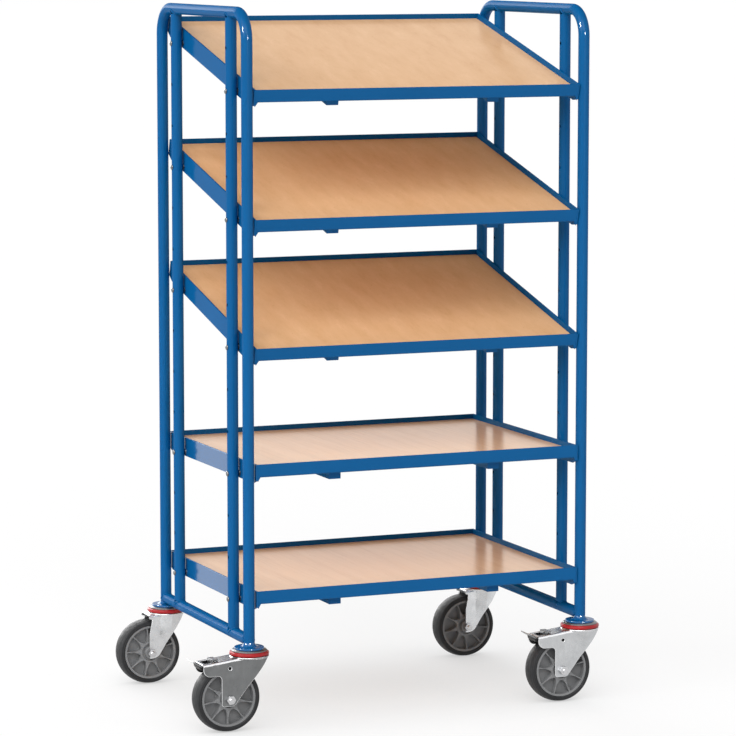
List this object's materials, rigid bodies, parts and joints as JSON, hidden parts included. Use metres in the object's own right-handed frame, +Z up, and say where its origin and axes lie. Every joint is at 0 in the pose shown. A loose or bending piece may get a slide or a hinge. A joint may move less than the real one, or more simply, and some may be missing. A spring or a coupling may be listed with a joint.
{
  "type": "euro container trolley",
  "caption": "Shelf trolley with bent tube end frames, rimmed trays bolted on level or tilted to the front, and swivel castors, the front ones with foot brakes.",
  "frame": {"origin": "on the floor, midway between the four swivel axes", "axes": "+X to the right seen from the front, +Y to the rear, +Z up"},
  "size_m": [1.0572, 0.676, 1.6885],
  "materials": {
    "blue_paint": "smooth powder coat",
    "beech_board": "satin wood decor on chipboard",
    "zinc": "zinc plated",
    "bolt_steel": "bright zinc plated",
    "red_seal": "moulded",
    "grey_plastic": "moulded",
    "grey_tyre": "smooth tread",
    "black_plastic": "moulded"
  },
  "bodies": {
    "frame": {"left_end_loop": "blue_paint", "left_bottom_rail": "blue_paint", "left_front_post": "blue_paint", "left_rear_post": "blue_paint", "right_end_loop": "blue_paint", "right_bottom_rail": "blue_paint", "right_front_post": "blue_paint", "right_rear_post": "blue_paint", "leg_flanges": "blue_paint", "castor_head_plates": "zinc", "king_bolts": "bolt_steel", "swivel_seals": "red_seal", "swivel_balls": "bolt_steel", "shelf_1_rails": "blue_paint", "shelf_1_sides": "blue_paint", "shelf_1_board": "beech_board", "shelf_2_rails": "blue_paint", "shelf_2_sides": "blue_paint", "shelf_2_board": "beech_board", "shelf_3_rails": "blue_paint", "shelf_3_sides": "blue_paint", "shelf_3_board": "beech_board", "shelf_4_rails": "blue_paint", "shelf_4_sides": "blue_paint", "shelf_4_board": "beech_board", "shelf_5_rails": "blue_paint", "shelf_5_sides": "blue_paint", "shelf_5_board": "beech_board", "shelf_crossbars": "blue_paint", "shelf_bolts": "bolt_steel", "shelf_nuts": "bolt_steel", "shelf_washers": "bolt_steel"},
    "front_left_castor": {"front_left_fork": "zinc", "front_left_axle": "bolt_steel", "front_left_axle_sleeve": "bolt_steel", "front_left_brake_pin": "bolt_steel"},
    "front_left_wheel": {"front_left_rim": "grey_plastic", "front_left_tyre": "grey_tyre"},
    "front_left_brake": {"front_left_brake_pedal": "zinc", "front_left_brake_shoe": "black_plastic"},
    "front_right_castor": {"front_right_fork": "zinc", "front_right_axle": "bolt_steel", "front_right_axle_sleeve": "bolt_steel", "front_right_brake_pin": "bolt_steel"},
    "front_right_wheel": {"front_right_rim": "grey_plastic", "front_right_tyre": "grey_tyre"},
    "front_right_brake": {"front_right_brake_pedal": "zinc", "front_right_brake_shoe": "black_plastic"},
    "rear_left_castor": {"rear_left_fork": "zinc", "rear_left_axle": "bolt_steel", "rear_left_axle_sleeve": "bolt_steel"},
    "rear_left_wheel": {"rear_left_rim": "grey_plastic", "rear_left_tyre": "grey_tyre"},
    "rear_right_castor": {"rear_right_fork": "zinc", "rear_right_axle": "bolt_steel", "rear_right_axle_sleeve": "bolt_steel"},
    "rear_right_wheel": {"rear_right_rim": "grey_plastic", "rear_right_tyre": "grey_tyre"}
  },
  "joints": [
    {"name": "front_left_swivel", "type": "hinge", "parent": "frame", "child": "front_left_castor", "pos_m": [-0.431, -0.291, 0.1759], "axis": [0, 0, 1], "continuous": true},
    {"name": "front_left_roll", "type": "hinge", "parent": "front_left_castor", "child": "front_left_wheel", "pos_m": [-0.4903, -0.291, 0.08], "axis": [0, 1, 0], "continuous": true},
    {"name": "front_left_brake_tip", "type": "hinge", "parent": "front_left_castor", "child": "front_left_brake", "pos_m": [-0.5163, -0.291, 0.1631], "axis": [0, -1, 0], "range_deg": [0, 15]},
    {"name": "front_right_swivel", "type": "hinge", "parent": "frame", "child": "front_right_castor", "pos_m": [0.431, -0.291, 0.1759], "axis": [0, 0, 1], "continuous": true},
    {"name": "front_right_roll", "type": "hinge", "parent": "front_right_castor", "child": "front_right_wheel", "pos_m": [0.3717, -0.291, 0.08], "axis": [0, 1, 0], "continuous": true},
    {"name": "front_right_brake_tip", "type": "hinge", "parent": "front_right_castor", "child": "front_right_brake", "pos_m": [0.3457, -0.291, 0.1631], "axis": [0, -1, 0], "range_deg": [0, 15]},
    {"name": "rear_left_swivel", "type": "hinge", "parent": "frame", "child": "rear_left_castor", "pos_m": [-0.431, 0.291, 0.1759], "axis": [0, 0, 1], "continuous": true},
    {"name": "rear_left_roll", "type": "hinge", "parent": "rear_left_castor", "child": "rear_left_wheel", "pos_m": [-0.481, 0.291, 0.08], "axis": [0, 1, 0], "continuous": true},
    {"name": "rear_right_swivel", "type": "hinge", "parent": "frame", "child": "rear_right_castor", "pos_m": [0.431, 0.291, 0.1759], "axis": [0, 0, 1], "continuous": true},
    {"name": "rear_right_roll", "type": "hinge", "parent": "rear_right_castor", "child": "rear_right_wheel", "pos_m": [0.381, 0.291, 0.08], "axis": [0, 1, 0], "continuous": true}
  ]
}
